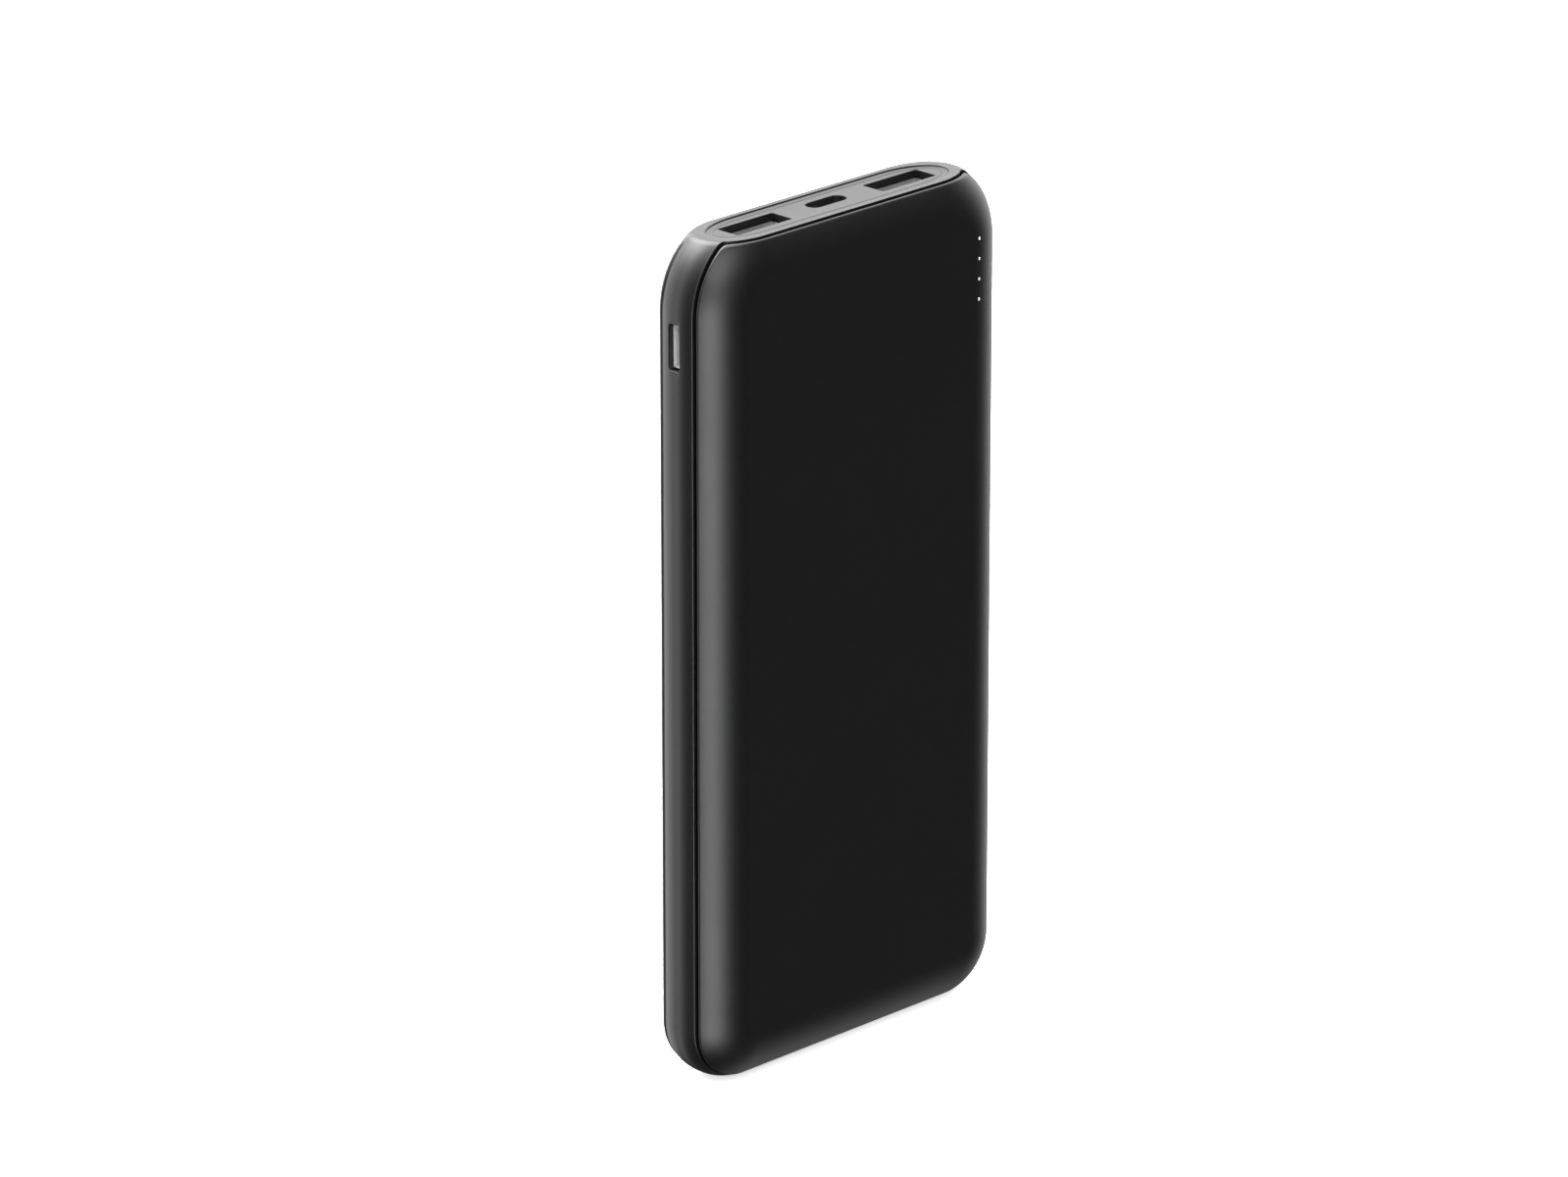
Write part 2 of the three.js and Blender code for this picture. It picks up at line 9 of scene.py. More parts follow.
import bmesh
import bpy
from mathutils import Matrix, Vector


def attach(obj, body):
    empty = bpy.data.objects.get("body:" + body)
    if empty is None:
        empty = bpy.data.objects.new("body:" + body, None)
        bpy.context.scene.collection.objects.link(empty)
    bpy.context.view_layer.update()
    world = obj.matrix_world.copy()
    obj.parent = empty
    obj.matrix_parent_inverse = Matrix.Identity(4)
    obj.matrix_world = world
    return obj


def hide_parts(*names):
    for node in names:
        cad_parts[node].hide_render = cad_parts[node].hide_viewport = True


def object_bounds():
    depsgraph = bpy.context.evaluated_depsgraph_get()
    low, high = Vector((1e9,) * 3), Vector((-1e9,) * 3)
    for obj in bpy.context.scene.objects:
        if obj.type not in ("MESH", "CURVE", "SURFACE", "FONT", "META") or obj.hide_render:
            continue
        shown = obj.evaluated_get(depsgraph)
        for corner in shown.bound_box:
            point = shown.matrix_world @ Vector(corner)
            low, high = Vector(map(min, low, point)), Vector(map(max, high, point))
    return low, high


MM = 0.001

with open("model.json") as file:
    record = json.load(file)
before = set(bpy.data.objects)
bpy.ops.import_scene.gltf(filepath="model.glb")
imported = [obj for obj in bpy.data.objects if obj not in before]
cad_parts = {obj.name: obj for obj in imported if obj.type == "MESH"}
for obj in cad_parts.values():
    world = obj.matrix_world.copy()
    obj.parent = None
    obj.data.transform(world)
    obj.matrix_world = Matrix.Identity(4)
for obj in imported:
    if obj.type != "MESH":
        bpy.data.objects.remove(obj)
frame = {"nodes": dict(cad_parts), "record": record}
CAD_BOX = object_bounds()

# ---- driving sizes, in millimetres ------------------------------------------------------------
HALF_WIDTH = (CAD_BOX[1][0] - CAD_BOX[0][0]) / 2 / MM
HEIGHT = CAD_BOX[1][2] / MM
CROWN = 3.1  # the pillow shape would rise this far above the flat top
TOP_RADIUS = 15.4
BOTTOM_RADIUS = 11.2
BAND_HALF = 3.5
BAND_SAG = 0.6
BAND_FLAT = 0.5
FOOT = (24.0, 1.8)  # half width and half depth of the flat strip it stands on
BAND_EDGE = 0.2
GROOVE = 0.35
EDGE_START = math.radians(33)  # a cover leaves the groove already turned this far
EDGE_DEPTH = CAD_BOX[1][1] / MM - BAND_HALF - GROOVE
EDGE_RADIUS = EDGE_DEPTH / (1 - math.sin(EDGE_START))
EDGE_RUN = EDGE_RADIUS * math.cos(EDGE_START)
EDGE_CENTRE_Y = BAND_HALF + GROOVE + EDGE_DEPTH - EDGE_RADIUS
COVER_BREAK = 0.42  # rounding of a cover's rim beside the groove
COVER_WALL = 1.2
FRAME_WALL = 3.8
GAP = 0.3
CREST = 0.32  # rounding where the sides meet the flat top
BAND_CREST = 0.6  # the same along the band
CORNER_CREST = 0.95  # the same at the front cover's two upper corners
TOP_BLOCK = 3.6
BACK_LIP = 1.2
FRONT_STEP = 0.35
RIM_WALL = 0.5
RIM_ROOM = 0.15
RIM_BREAK = 0.1
RIB_HALF = 4.3
RIB_INSET = 2.75
RECESS_STRAIGHT = 18.0
RECESS_RUN = 9.9
RECESS_HALF = 5.15
RECESS_DEPTH = 1.42
RECESS_BREAK = 0.2
PLATE_DROP = 0.22
PLATE_THICKNESS = 1.2
PLATE_GAP = 0.01
LINE_INSET = 1.2  # a fine line runs round the plate this far inside its edge
LINE_WIDTH = 0.14
LINE_DEPTH = 0.06
USB_A_X = 17.35
USB_A_Y = 0.15
USB_A_HOLE = (13.0, 4.8)
USB_A_WELL = (13.9, 6.1)  # the room in the frame for the socket's shell
USB_C_Y = 0.6
USB_C_HOLE = (8.65, 3.1)
USB_C_WELL = (10.2, 4.2)
WELL_DEPTH = 6.0
MICRO_Y = 0.25
MICRO_Z = 133.4
MICRO_HOLE = (2.6, 8.1)
MICRO_BREAK = 0.18  # rounding of the opening's mouth
BUTTON_Z = 133.6
BUTTON_HOLE = (2.8, 10.0)
BUTTON_BREAK = 0.12
BUTTON_LIP = 35.0  # the button's opening is wider inside this
BUTTON_POCKET = (4.0, 12.0)
LED_X = 28.0
LED_Z = 134.6
LED_PITCH = 3.61
LED_COUNT = 4
PIN = (0.34, 0.54)  # width and height of the light guide's pins
PIN_ROOM = 0.05
PIN_REACH = 8.5
FAR = 200.0


# ---- mesh helpers, in millimetres --------------------------------------------------------------
def make_object(name, verts, faces):
    mesh = bpy.data.meshes.new(name)
    mesh.from_pydata([(x * MM, y * MM, z * MM) for x, y, z in verts], [], faces)
    mesh.validate()
    obj = bpy.data.objects.new(name, mesh)
    bpy.context.scene.collection.objects.link(obj)
    face_out(obj)
    return obj


def face_out(obj):
    bm = bmesh.new()
    bm.from_mesh(obj.data)
    bmesh.ops.recalc_face_normals(bm, faces=bm.faces)
    bm.to_mesh(obj.data)
    bm.free()


def apply_modifiers(obj):
    graph = bpy.context.evaluated_depsgraph_get()
    mesh = bpy.data.meshes.new_from_object(obj.evaluated_get(graph))
    obj.modifiers.clear()
    old = obj.data
    obj.data = mesh
    bpy.data.meshes.remove(old)
    return obj


def boolean(obj, tool, operation):
    modifier = obj.modifiers.new(operation, "BOOLEAN")
    modifier.operation = operation
    modifier.solver = "EXACT"
    modifier.object = tool
    apply_modifiers(obj)
    bpy.data.objects.remove(tool)
    return obj


def cut(obj, *tools):
    for tool in tools:
        boolean(obj, tool, "DIFFERENCE")
    return obj


FLAT_FACE_WEIGHT = 80  # how much large faces decide the shading, from 1 to 100


def shade(obj, angle=32.0):
    """Smooth shading that keeps creases above the angle and leaves large flats flat."""
    mesh = obj.data
    mesh.polygons.foreach_set("use_smooth", [True] * len(mesh.polygons))
    mesh.set_sharp_from_angle(angle=math.radians(angle))
    modifier = obj.modifiers.new("weighted", "WEIGHTED_NORMAL")
    modifier.keep_sharp = True
    modifier.weight = FLAT_FACE_WEIGHT
    return apply_modifiers(obj)


def bevel(obj, width, segments=2, angle=50.0):
    modifier = obj.modifiers.new("bevel", "BEVEL")
    modifier.width = width * MM
    modifier.segments = segments
    modifier.limit_method = "ANGLE"
    modifier.angle_limit = math.radians(angle)
    return apply_modifiers(obj)


def box(x0, x1, y0, y1, z0, z1):
    verts = [(x, y, z) for x in (x0, x1) for y in (y0, y1) for z in (z0, z1)]
    faces = [(0, 1, 3, 2), (4, 6, 7, 5), (0, 4, 5, 1), (2, 3, 7, 6), (0, 2, 6, 4), (1, 5, 7, 3)]
    return make_object("tool", verts, faces)


def loft(name, rings):
    """A closed solid through rings of points that all have the same count."""
    count = len(rings[0])
    verts = [p for ring in rings for p in ring]
    faces = []
    for k in range(len(rings) - 1):
        for i in range(count):
            j = (i + 1) % count
            a = k * count
            faces.append((a + i, a + j, a + count + j, a + count + i))
    last = (len(rings) - 1) * count
    faces.append(tuple(range(count))[::-1])
    faces.append(tuple(last + i for i in range(count)))
    return make_object(name, verts, faces)


# ---- the pillow --------------------------------------------------------------------------------
def arc(cx, cz, radius, start, end, steps):
    turn = [start + (end - start) * k / steps for k in range(steps + 1)]
    return [(cx + radius * math.cos(t), cz + radius * math.sin(t)) for t in turn]


def soft_min(value, limit, width):
    """min(value, limit) with the corner rounded over a width on both sides."""
    if value <= limit - width:
        return value
    if value >= limit + width:
        return limit
    part = (value - limit + width) / (2 * width)
    return limit - width + 2 * width * (part - part * part / 2)


CREST_ANGLE = math.asin((TOP_RADIUS - CROWN) / TOP_RADIUS)
CREST_SPAN = 0.16
LINE_STEPS = 24
LEAST_RADIUS = 0.8


def top_arc_angles():
    """Angles of a top corner's points, close together where the flat top cuts the arc."""
    low = CREST_ANGLE - CREST_SPAN
    high = CREST_ANGLE + CREST_SPAN
    before = [low * k / 22 for k in range(22)]
    crest = [low + (high - low) * k / 30 for k in range(30)]
    after = [high + (math.pi / 2 - high) * k / 14 for k in range(15)]
    return before + crest + after


def outline(inset):
    """The body's outline seen from the front, drawn inwards by an inset."""
    low = max(BOTTOM_RADIUS - inset, LEAST_RADIUS)
    high = max(TOP_RADIUS - inset, LEAST_RADIUS)
    side = HALF_WIDTH - inset
    top = HEIGHT + CROWN - inset
    half = arc(side - low, inset + low, low, -math.pi / 2, 0, 28)
    rise = top - high - inset - low
    foot = half[-1]
    half += [(foot[0], foot[1] + rise * k / LINE_STEPS) for k in range(1, LINE_STEPS)]
    for t in top_arc_angles():
        half.append((side - high + high * math.cos(t), top - high + high * math.sin(t)))
    left = [(-x, z) for x, z in half][::-1]
    return half + left


def ring(y, inset, crest=CREST, top=HEIGHT):
    return [(x, y, soft_min(z, top, crest)) for x, z in outline(inset)]


def edge_levels(wall, steps=44):
    """Depth and inset down a cover's rounded edge, drawn inwards by a wall."""
    levels = []
    radius = EDGE_RADIUS - wall
    for k in range(steps + 1):
        angle = EDGE_START + (math.pi / 2 - EDGE_START) * k / steps
        depth = EDGE_CENTRE_Y + radius * math.sin(angle)
        levels.append((depth, BAND_SAG + EDGE_RUN - radius * math.cos(angle)))
    return levels


def crest_levels(levels):
    """Adds levels close together where a cover's face meets the flat top."""
    dense = []
    for (y0, d0), (y1, d1) in zip(levels, levels[1:]):
        near = d1 > CROWN - 2.5 * CREST and d0 < CROWN + 3.5 * CREST
        parts = 5 if near else 1
        for k in range(parts):
            t = k / parts
            dense.append((y0 + (y1 - y0) * t, d0 + (d1 - d0) * t))
    dense.append(levels[-1])
    return dense


def broken_edge(levels):
    """Rounds off the start of the levels, from the groove's wall into the cover's edge."""
    reach = EDGE_RADIUS - COVER_BREAK
    centre_y = BAND_HALF + GROOVE + COVER_BREAK
    meet = math.asin((centre_y - EDGE_CENTRE_Y) / reach)
    centre_inset = BAND_SAG + EDGE_RUN - reach * math.cos(meet)
    rounded = []
    steps = 12
    for k in range(steps + 1):
        t = -math.pi / 2 + (meet + math.pi / 2) * k / steps
        rounded.append((centre_y + COVER_BREAK * math.sin(t),
                        centre_inset - COVER_BREAK * math.cos(t)))
    rest = [(y, d) for y, d in levels if y > rounded[-1][0] + 0.02]
    return rounded + rest


def crest_at(inset, near):
    """The rounding at an inset: near the band it is another one than on the covers."""
    part = min(max((inset - BAND_SAG) / 2.4, 0.0), 1.0)
    return near + (CREST - near) * part


def pillow(wall, crest=CREST, top=HEIGHT, near=None):
    """Both halves of the pillow as one solid; the outermost one has its rims rounded off."""
    half = crest_levels(edge_levels(wall))
    if wall == 0:
        half = broken_edge(half)
    levels = [(-y, d) for y, d in reversed(half)] + half
    return loft("pillow", [ring(y, d, crest_at(d, near) if near else crest, top)
                           for y, d in levels])


def plateau(half_depth, inset, top=FAR):
    rings = [ring(-half_depth, inset, 0.01, top), ring(half_depth, inset, 0.01, top)]
    return loft("plateau", rings)


def top_shape(wall, steps=24):
    """The flat top's outline in X and Y, where it cuts the pillow drawn inwards by a wall."""
    centre_x = HALF_WIDTH - TOP_RADIUS
    rise = TOP_RADIUS - CROWN
    radius = EDGE_RADIUS - wall
    end = math.acos((BAND_SAG + EDGE_RUN - CROWN) / radius)
    side = []
    for k in range(steps + 1):
        turn = EDGE_START + (end - EDGE_START) * k / steps
        inset = BAND_SAG + EDGE_RUN - radius * math.cos(turn)
        reach = math.sqrt(max((TOP_RADIUS - inset) ** 2 - rise * rise, 0.0))
        side.append((centre_x + reach, EDGE_CENTRE_Y + radius * math.sin(turn)))
    quarter = [(x, -y) for x, y in reversed(side)] + side
    return quarter + [(-x, -y) for x, y in quarter]


def rim_block(wall, bottom, flare=0.0):
    """The upright block under the flat top, its top edge rounded by a flare."""
    rings = [[(x, y, bottom) for x, y in top_shape(wall)]]
    for grow, down in reversed(flare_steps(flare)):
        rings.append([(x, y, HEIGHT - down) for x, y in top_shape(wall + 1.3 * (flare - grow))])
    rings.append([(x, y, HEIGHT + 2) for x, y in top_shape(wall + 1.3 * flare)])
    return loft("tool", rings)


# ---- shapes for recess, plate and openings ------------------------------------------------------
def recess_outline(grow, steps=40):
    run = RECESS_RUN + grow
    rise = RECESS_HALF + grow
    points = []
    for side, start in ((1, -math.pi / 2), (-1, math.pi / 2)):
        for k in range(steps + 1):
            t = start + math.pi * k / steps
            points.append((side * RECESS_STRAIGHT + run * math.cos(t), rise * math.sin(t)))
    return points


def rounded_rect(width, height, radius, cx=0.0, cy=0.0, steps=8):
    x = width / 2 - radius
    y = height / 2 - radius
    turns = [(x, -y, -0.5), (x, y, 0.0), (-x, y, 0.5), (-x, -y, 1.0)]
    points = []
    for px, py, start in turns:
        points += arc(cx + px, cy + py, radius, start * math.pi, (start + 0.5) * math.pi, steps)
    return points


def flare_steps(radius, steps=5):
    """Growth and depth down a rounded mouth: widest at the face, nothing at the radius."""
    turns = [math.pi / 2 * k / steps for k in range(steps + 1)]
    return [(radius * (1 - math.sin(t)), radius * (1 - math.cos(t))) for t in turns]


def upright_cutter(shape, top, bottom, flare):
    """shape(grow) gives X and Y points; the cutter runs down from the top with a round mouth."""
    rings = [[(x, y, top + 1) for x, y in shape(flare)]]
    rings += [[(x, y, top - down) for x, y in shape(grow)] for grow, down in flare_steps(flare)]
    rings.append([(x, y, bottom) for x, y in shape(0)])
    return loft("tool", rings)


def side_cutter(shape, face, inner, flare, direction):
    """shape(grow) gives Y and Z points; the cutter enters a side face along X."""
    rings = [[(face + direction, y, z) for y, z in shape(flare)]]
    for grow, down in flare_steps(flare):
        rings.append([(face - direction * down, y, z) for y, z in shape(grow)])
    rings.append([(inner, y, z) for y, z in shape(0)])
    return loft("tool", rings)


# ---- the case ----------------------------------------------------------------------------------
def band_levels(steps=14):
    """Half of the band, from its flat middle out: a shallow curve and an edge break."""
    shoulder = BAND_HALF - BAND_EDGE
    half = []
    for k in range(steps + 1):
        part = k / steps
        half.append((BAND_FLAT + (shoulder - BAND_FLAT) * part, BAND_SAG * part * part))
    for k in range(1, 5):
        t = math.pi / 2 * k / 4
        half.append((shoulder + BAND_EDGE * math.sin(t), BAND_SAG + BAND_EDGE * (1 - math.cos(t))))
    return half


def micro_shape(grow):
    width, height = MICRO_HOLE
    points = rounded_rect(width + 2 * grow, height + 2 * grow, 0.6 + grow)
    return [(MICRO_Y + y, MICRO_Z + z) for y, z in points]


def button_shape(grow):
    width, height = BUTTON_HOLE
    points = rounded_rect(width + 2 * grow, height + 2 * grow, 1.3 + grow, steps=12)
    return [(y, BUTTON_Z + z) for y, z in points]


def button_pocket():
    """The wider room behind the frame's lip, where the button's flange moves."""
    width, height = BUTTON_POCKET
    points = [(y, BUTTON_Z + z) for y, z in rounded_rect(width, height, 1.4, steps=12)]
    inner = HALF_WIDTH - FRAME_WALL - 1
    return loft("tool", [[(x, y, z) for y, z in points] for x in (inner, BUTTON_LIP)])


def build_frame():
    edge = [(y, d) for y, d in crest_levels(edge_levels(0.0)) if y > BAND_HALF + GROOVE + 0.05]
    half = band_levels() + edge
    levels = [(-y, d) for y, d in reversed(half)] + half
    body = loft("mid_frame_shell", [ring(y, d, crest_at(d, BAND_CREST)) for y, d in levels])
    boolean(body, box(-FOOT[0], FOOT[0], -FOOT[1], FOOT[1], 0, 1), "UNION")
    under = box(-FAR, FAR, -FAR, -BAND_HALF - 0.02, -FAR, HEIGHT + 1)
    block = rim_block(RIM_WALL, HEIGHT - TOP_BLOCK, RIM_BREAK)
    cut(under, block, plateau(RIB_HALF, RIB_INSET, HEIGHT - TOP_BLOCK))
    behind = box(-FAR, FAR, BAND_HALF + 0.02, FAR, -FAR, HEIGHT - BACK_LIP)
    block = rim_block(RIM_WALL, HEIGHT - TOP_BLOCK)
    cut(behind, block, plateau(RIB_HALF, RIB_INSET, HEIGHT - TOP_BLOCK))
    hollow = plateau(FAR, FRAME_WALL, HEIGHT - TOP_BLOCK)
    recess = upright_cutter(recess_outline, HEIGHT, HEIGHT - RECESS_DEPTH, RECESS_BREAK)
    cut(body, under, behind, hollow, recess)
    for side in (-1, 1):
        well = rounded_rect(*USB_A_WELL, 0.5, side * USB_A_X, USB_A_Y)
        cut(body, upright_cutter(lambda grow, well=well: well, HEIGHT, HEIGHT - WELL_DEPTH, 0.01))
    well = rounded_rect(*USB_C_WELL, 2.0, 0, USB_C_Y)
    cut(body, upright_cutter(lambda grow: well, HEIGHT, HEIGHT - WELL_DEPTH, 0.01))
    inner = HALF_WIDTH - FRAME_WALL - 1
    cut(body, side_cutter(micro_shape, -HALF_WIDTH, -inner, MICRO_BREAK, -1))
    cut(body, side_cutter(button_shape, HALF_WIDTH, inner, BUTTON_BREAK, 1), button_pocket())
    return shade(body)


def lamp_heights():
    return [LED_Z + (k - (LED_COUNT - 1) / 2) * LED_PITCH for k in range(LED_COUNT)]


def build_cover(name, side):
    top = HEIGHT - FRONT_STEP if side < 0 else HEIGHT - BACK_LIP - GAP
    cover = pillow(0.0, 0.12, top, CORNER_CREST if side < 0 else None)
    cover.name = name
    inner = pillow(COVER_WALL, 0.01, HEIGHT + 2)
    room = plateau(BAND_HALF + GROOVE + 0.3, BAND_SAG + COVER_WALL, FAR)
    rim_room = rim_block(RIM_ROOM, HEIGHT - TOP_BLOCK - GAP)
    start = BAND_HALF + GROOVE
    limits = (-FAR, start) if side > 0 else (-start, FAR)
    away = box(-FAR, FAR, *limits, -FAR, FAR)
    cut(cover, away, inner, room, rim_room)
    if side < 0:
        for z in lamp_heights():
            cut(cover, pin_bar(z, -FAR, -4.0, PIN_ROOM))
    return shade(cover)


def pin_bar(z, front, back, grow=0.0):
    """A bar with rounded corners that runs from front to back at a lamp's height."""
    width = PIN[0] + 2 * grow
    height = PIN[1] + 2 * grow
    points = rounded_rect(width, height, 0.15 + grow, LED_X, z)
    return loft("tool", [[(x, y, h) for x, h in points] for y in (front, back)])


def build_light_guide():
    heights = lamp_heights()
    guide = box(LED_X - 0.4, LED_X + 0.25, -1.2, -0.4, heights[0] - 0.8, heights[-1] + 0.8)
    guide.name = "light_guide_clear"
    for z in heights:
        boolean(guide, pin_bar(z, -PIN_REACH, 0.8), "UNION")
    return shade(guide)


def build_plate():
    bottom = HEIGHT - PLATE_DROP - PLATE_THICKNESS
    top = HEIGHT - PLATE_DROP
    ring_low = [(x, y, bottom) for x, y in recess_outline(-PLATE_GAP)]
    ring_high = [(x, y, top) for x, y in recess_outline(-PLATE_GAP)]
    plate = loft("port_plate_shell", [ring_low, ring_high])
    outer = loft("tool", [[(x, y, z) for x, y in recess_outline(-LINE_INSET)]
                          for z in (top - LINE_DEPTH, top + 1)])
    inner = loft("tool", [[(x, y, z) for x, y in recess_outline(-LINE_INSET - LINE_WIDTH)]
                          for z in (top - 1, top + 2)])
    cut(plate, cut(outer, inner))
    for side in (-1, 1):
        def hole(grow, side=side):
            width, depth = USB_A_HOLE
            return rounded_rect(width + 2 * grow, depth + 2 * grow, 0.25 + grow,
                                side * USB_A_X, USB_A_Y)
        cut(plate, upright_cutter(hole, top, bottom - 1, 0.07))

    def oval(grow):
        width, depth = USB_C_HOLE
        return rounded_rect(width + 2 * grow, depth + 2 * grow, depth / 2 - 0.01 + grow,
                            0, USB_C_Y, 16)
    cut(plate, upright_cutter(oval, top, bottom - 1, 0.07))
    return shade(bevel(plate, 0.1, 3))


# ---- materials ---------------------------------------------------------------------------------
def node_material(name, base, roughness, metallic=0.0):
    material = bpy.data.materials.new(name)
    material.use_nodes = True
    shader = material.node_tree.nodes["Principled BSDF"]
    shader.inputs["Base Color"].default_value = (*base, 1.0)
    shader.inputs["Roughness"].default_value = roughness
    shader.inputs["Metallic"].default_value = metallic
    return material, shader


def noise(tree, scale, detail=4.0, rough=0.55):
    node = tree.nodes.new("ShaderNodeTexNoise")
    node.inputs["Scale"].default_value = scale
    node.inputs["Detail"].default_value = detail
    node.inputs["Roughness"].default_value = rough
    coords = tree.nodes.new("ShaderNodeTexCoord")
    tree.links.new(coords.outputs["Object"], node.inputs["Vector"])
    return node.outputs["Fac"]


def remap(tree, value, low, high):
    node = tree.nodes.new("ShaderNodeMapRange")
    node.inputs["To Min"].default_value = low
    node.inputs["To Max"].default_value = high
    tree.links.new(value, node.inputs["Value"])
    return node.outputs["Result"]


def mix_color(tree, factor, dark, light):
    node = tree.nodes.new("ShaderNodeMix")
    node.data_type = "RGBA"
    node.inputs["A"].default_value = (*dark, 1.0)
    node.inputs["B"].default_value = (*light, 1.0)
    tree.links.new(factor, node.inputs["Factor"])
    return node.outputs["Result"]


def bump(tree, shader, height, distance, strength=1.0):
    node = tree.nodes.new("ShaderNodeBump")
    node.inputs["Strength"].default_value = strength
    node.inputs["Distance"].default_value = distance
    tree.links.new(height, node.inputs["Height"])
    tree.links.new(node.outputs["Normal"], shader.inputs["Normal"])


EDGE_BEGINS = 0.53  # pointiness, which is 0.5 on a flat face
EDGE_FULL = 0.66
WEAR_SCALE = 900.0
DRIFT_SCALE = 55.0  # patches of slightly different roughness, about 2 cm across


def worn_edges(tree, colour, light, amount):
    """Lightens exposed edges a little and unevenly, as handling does."""
    geometry = tree.nodes.new("ShaderNodeNewGeometry")
    edge = tree.nodes.new("ShaderNodeMapRange")
    edge.inputs["From Min"].default_value = EDGE_BEGINS
    edge.inputs["From Max"].default_value = EDGE_FULL
    tree.links.new(geometry.outputs["Pointiness"], edge.inputs["Value"])
    patchy = remap(tree, noise(tree, WEAR_SCALE, 3.0), 0.0, amount)
    factor = tree.nodes.new("ShaderNodeMath")
    factor.operation = "MULTIPLY"
    tree.links.new(edge.outputs["Result"], factor.inputs[0])
    tree.links.new(patchy, factor.inputs[1])
    node = tree.nodes.new("ShaderNodeMix")
    node.data_type = "RGBA"
    node.inputs["B"].default_value = (*light, 1.0)
    tree.links.new(colour, node.inputs["A"])
    tree.links.new(factor.outputs["Value"], node.inputs["Factor"])
    return node.outputs["Result"]


def surface(name, dark, light, rough, grain, metallic=0.0, wear=0.3, specular=0.5):
    """A surface with fine grain, drifting roughness, uneven colour and worn edges.

    rough is the lowest and highest roughness; grain is its scale and its height in metres.
    """
    material, shader = node_material(name, dark, rough[0], metallic)
    shader.inputs["Specular IOR Level"].default_value = specular
    tree = material.node_tree
    fine = noise(tree, grain[0], 2.0)
    broad = noise(tree, DRIFT_SCALE, 3.0)
    colour = worn_edges(tree, mix_color(tree, fine, dark, light), [2.0 * c for c in light], wear)
    tree.links.new(colour, shader.inputs["Base Color"])
    tree.links.new(remap(tree, broad, *rough), shader.inputs["Roughness"])
    bump(tree, shader, fine, grain[1])
    return material


MATERIALS = {
    "soft_touch_black": surface("soft_touch_black", (0.003, 0.003, 0.0032), (0.007, 0.007, 0.0074),
                                (0.37, 0.44), (9000.0, 0.00002), wear=0.15),
    "plate_black": surface("plate_black", (0.004, 0.004, 0.0042), (0.008, 0.008, 0.0084),
                           (0.40, 0.48), (9000.0, 0.00003), wear=0.15),
    "port_black": surface("port_black", (0.006, 0.006, 0.006), (0.011, 0.011, 0.011),
                          (0.38, 0.5), (7000.0, 0.00001)),
    "port_steel": surface("port_steel", (0.32, 0.32, 0.33), (0.72, 0.72, 0.73),
                          (0.34, 0.5), (4000.0, 0.00006), metallic=0.75),
    "contact_gold": surface("contact_gold", (0.74, 0.50, 0.19), (0.86, 0.62, 0.27),
                            (0.2, 0.32), (6000.0, 0.00001), metallic=1.0),
    "coil_ferrite": surface("coil_ferrite", (0.035, 0.034, 0.033), (0.07, 0.068, 0.066),
                            (0.6, 0.78), (2600.0, 0.00006)),
    "pouch_foil": surface("pouch_foil", (0.50, 0.51, 0.52), (0.66, 0.67, 0.68),
                          (0.28, 0.44), (240.0, 0.00012), metallic=1.0),
    "nickel_strip": surface("nickel_strip", (0.55, 0.53, 0.49), (0.70, 0.68, 0.63),
                            (0.22, 0.36), (3000.0, 0.00002), metallic=1.0),
    "foam_grey": surface("foam_grey", (0.06, 0.06, 0.062), (0.16, 0.16, 0.163),
                         (0.85, 0.95), (1500.0, 0.00018)),
    "board_green": surface("board_green", (0.008, 0.070, 0.028), (0.014, 0.105, 0.045),
                           (0.26, 0.4), (1800.0, 0.00002)),
    "chip_black": surface("chip_black", (0.012, 0.012, 0.013), (0.026, 0.026, 0.027),
                          (0.48, 0.62), (4000.0, 0.00002)),
    "capacitor_tan": surface("capacitor_tan", (0.36, 0.25, 0.15), (0.48, 0.35, 0.22),
                             (0.34, 0.48), (3500.0, 0.00001)),
    "lamp_white": surface("lamp_white", (0.80, 0.80, 0.79), (0.90, 0.90, 0.89),
                          (0.28, 0.36), (5000.0, 0.000005), wear=0.0),
    "lead_red": surface("lead_red", (0.42, 0.012, 0.010), (0.55, 0.020, 0.015),
                        (0.42, 0.55), (4000.0, 0.00001)),
    "lead_black": surface("lead_black", (0.011, 0.011, 0.011), (0.020, 0.020, 0.020),
                          (0.42, 0.55), (4000.0, 0.00001)),
}
# A near-white, mostly non-metallic copy of the steel: painted sheen, so the micro-USB shell looks
# bright where real steel would mirror the dark opening.
STEEL_PAINTED_SHEEN = surface("steel_with_painted_sheen", (0.78, 0.78, 0.79), (0.95, 0.95, 0.96),
                       (0.3, 0.42), (4000.0, 0.00006), metallic=0.3)
LAMP_GLOW = 0.9

lamp_shader = MATERIALS["lamp_white"].node_tree.nodes["Principled BSDF"]
lamp_shader.inputs["Emission Color"].default_value = (1.0, 1.0, 1.0, 1.0)
lamp_shader.inputs["Emission Strength"].default_value = LAMP_GLOW


def assign(obj, material):
    obj.data.materials.clear()
    obj.data.materials.append(material)
    return obj


def finish_piece(obj, slot, body, *nodes):
    assign(obj, MATERIALS[slot])
    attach(obj, body)
    if nodes:
        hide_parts(*nodes)


finish_piece(build_frame(), "soft_touch_black", "case", "mid_frame")
finish_piece(build_cover("front_cover_shell", -1), "soft_touch_black", "case", "front_cover")
finish_piece(build_cover("back_cover_shell", 1), "soft_touch_black", "case", "back_cover")
finish_piece(build_plate(), "plate_black", "case", "port_plate")
finish_piece(build_light_guide(), "lamp_white", "case", "light_guide")

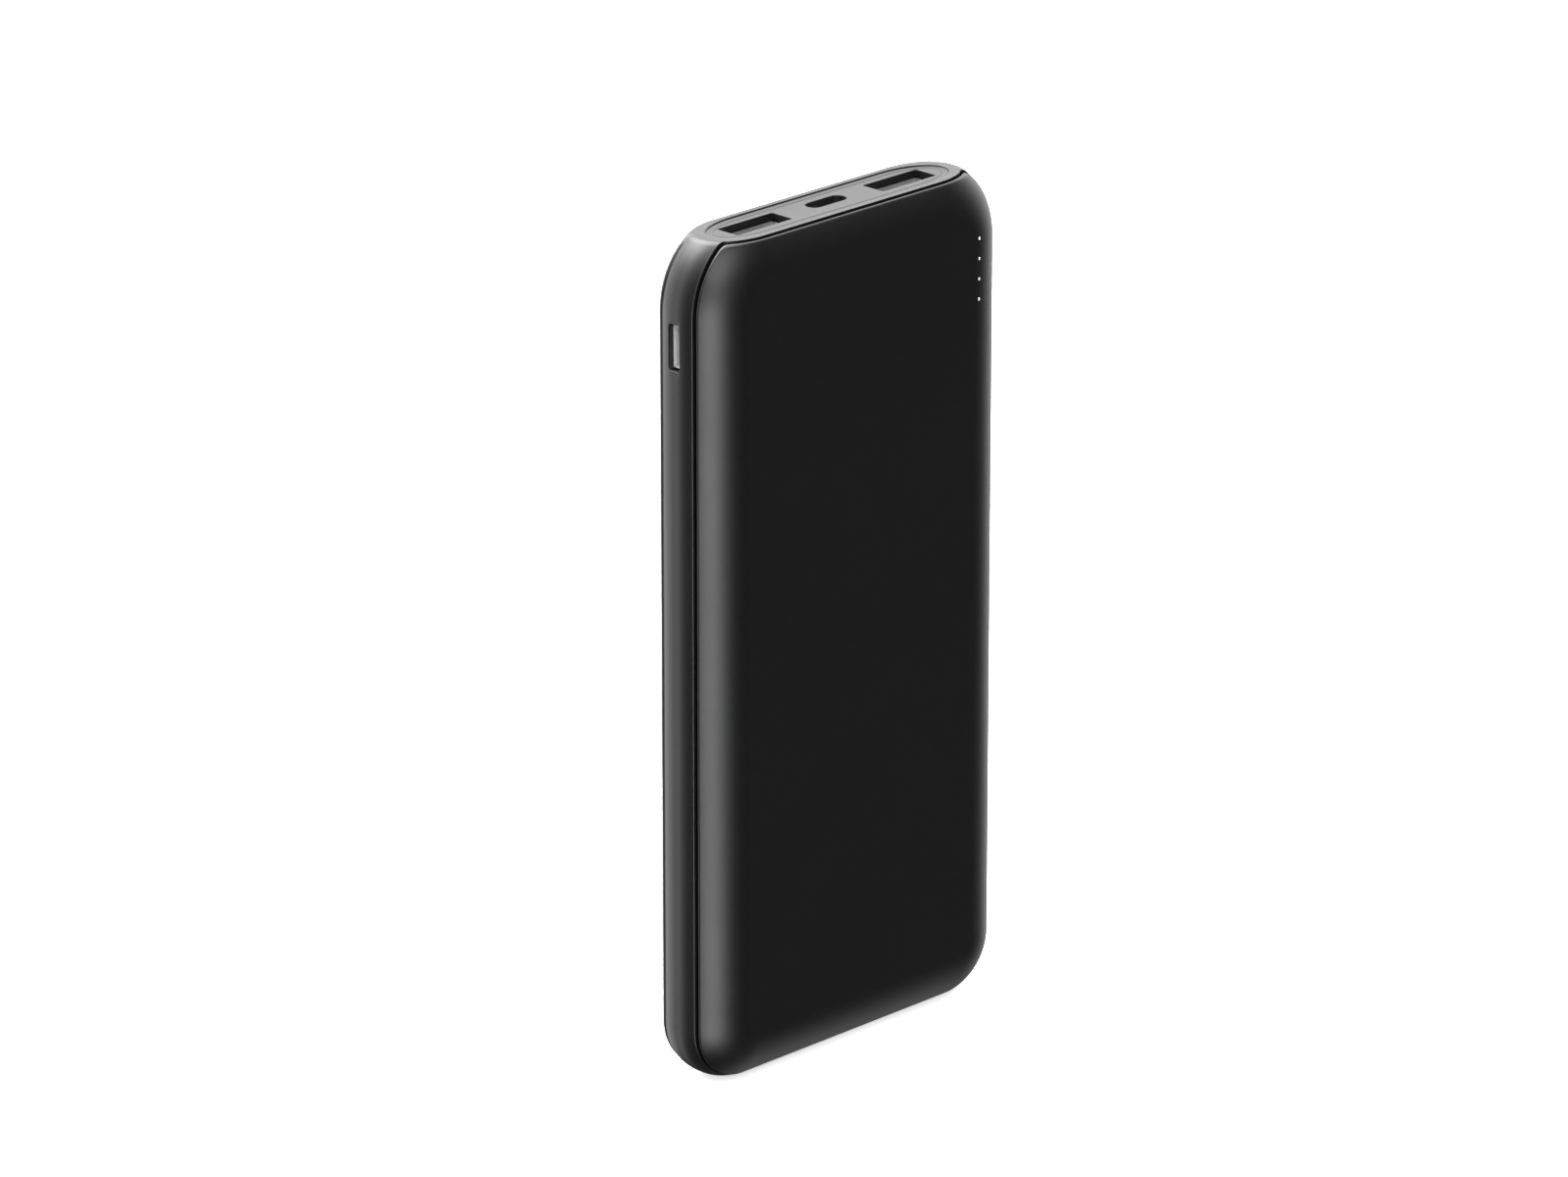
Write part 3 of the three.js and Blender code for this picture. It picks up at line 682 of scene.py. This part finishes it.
slots = {row["node"]: row["material_slot"] for row in frame["record"]["subparts"]}
for node, slot in slots.items():
    assign(frame["nodes"][node], MATERIALS[slot])
# The micro-USB shell gets the steel with painted sheen.
assign(frame["nodes"]["micro_usb_shell"], STEEL_PAINTED_SHEEN)

# ---- camera ------------------------------------------------------------------------------------
LENS = 201.23
DISTANCE = 1.5
AZIMUTH = math.radians(-45.2)
ELEVATION = math.radians(19.84)
TARGET = Vector((-0.003435, 0.007119, 0.080796))


def add_camera():
    data = bpy.data.cameras.new("camera")
    data.lens = LENS
    data.sensor_width = 36.0
    data.clip_end = 20.0
    camera = bpy.data.objects.new("camera", data)
    back = Vector((math.sin(AZIMUTH) * math.cos(ELEVATION),
                   -math.cos(AZIMUTH) * math.cos(ELEVATION),
                   math.sin(ELEVATION)))
    camera.location = TARGET + back * DISTANCE
    camera.rotation_euler = back.to_track_quat("Z", "Y").to_euler()
    bpy.context.scene.collection.objects.link(camera)
    bpy.context.scene.camera = camera


# ---- floor and light ---------------------------------------------------------------------------
FLOOR_HALF = 6.0  # metres
FLOOR_GLOW = 0.6  # lightens the shadow on the floor


def add_floor():
    """A plain pale floor that is seen, but neither lights the object nor mirrors in it."""
    size = FLOOR_HALF
    corners = [(-size, -size, 0), (size, -size, 0), (size, size, 0), (-size, size, 0)]
    mesh = bpy.data.meshes.new("floor")
    mesh.from_pydata(corners, [], [(0, 1, 2, 3)])
    floor = bpy.data.objects.new("floor", mesh)
    bpy.context.scene.collection.objects.link(floor)
    floor.visible_glossy = False
    floor.visible_diffuse = False
    material, shader = node_material("floor_white", (0.9, 0.9, 0.9), 0.9)
    shader.inputs["Emission Color"].default_value = (1.0, 1.0, 1.0, 1.0)
    shader.inputs["Emission Strength"].default_value = FLOOR_GLOW
    assign(floor, material)


def direction(turn, rise):
    """A unit vector: turn is 0 to the left, 90 to the front and -90 to the back, in degrees."""
    turn = math.radians(turn)
    rise = math.radians(rise)
    return (-math.cos(turn) * math.cos(rise), -math.sin(turn) * math.cos(rise), math.sin(rise))


# Soft boxes round the studio: turn, rise, full half-angle, faded half-angle, radiance.
SOFT_BOXES = (
    (-75, 0, 30, 58, 1.9),
    (-135, 22, 20, 46, 1.3),
    (-160, 6, 18, 46, 1.6),
    (-90, 58, 12, 36, 15.0),
    (50, -18, 8, 28, 7.4),
    (58, 38, 8, 28, 6.0),
    (180, -50, 10, 30, 0.45),
)
AMBIENT = 0.085  # what comes from everywhere else


def add_light(tree, total, value):
    """Adds a soft box's value to the total so far; the first one is added to the ambient light."""
    node = tree.nodes.new("ShaderNodeMath")
    node.operation = "ADD"
    node.inputs[0].default_value = AMBIENT
    if total is not None:
        tree.links.new(total, node.inputs[0])
    tree.links.new(value, node.inputs[1])
    return node.outputs["Value"]


def add_world():
    world = bpy.data.worlds.new("studio")
    bpy.context.scene.world = world
    world.use_nodes = True
    tree = world.node_tree
    coords = tree.nodes.new("ShaderNodeTexCoord")
    total = None
    for turn, rise, full, faded, radiance in SOFT_BOXES:
        dot = tree.nodes.new("ShaderNodeVectorMath")
        dot.operation = "DOT_PRODUCT"
        dot.inputs[1].default_value = direction(turn, rise)
        tree.links.new(coords.outputs["Generated"], dot.inputs[0])
        spot = tree.nodes.new("ShaderNodeMapRange")
        spot.interpolation_type = "SMOOTHSTEP"
        spot.inputs["From Min"].default_value = math.cos(math.radians(faded))
        spot.inputs["From Max"].default_value = math.cos(math.radians(full))
        spot.inputs["To Max"].default_value = radiance
        tree.links.new(dot.outputs["Value"], spot.inputs["Value"])
        total = add_light(tree, total, spot.outputs["Result"])
    tree.links.new(total, tree.nodes["Background"].inputs["Strength"])
    tree.nodes["Background"].inputs["Color"].default_value = (1.0, 1.0, 1.0, 1.0)


add_camera()
add_floor()
add_world()
bpy.context.scene.view_settings.view_transform = "Standard"
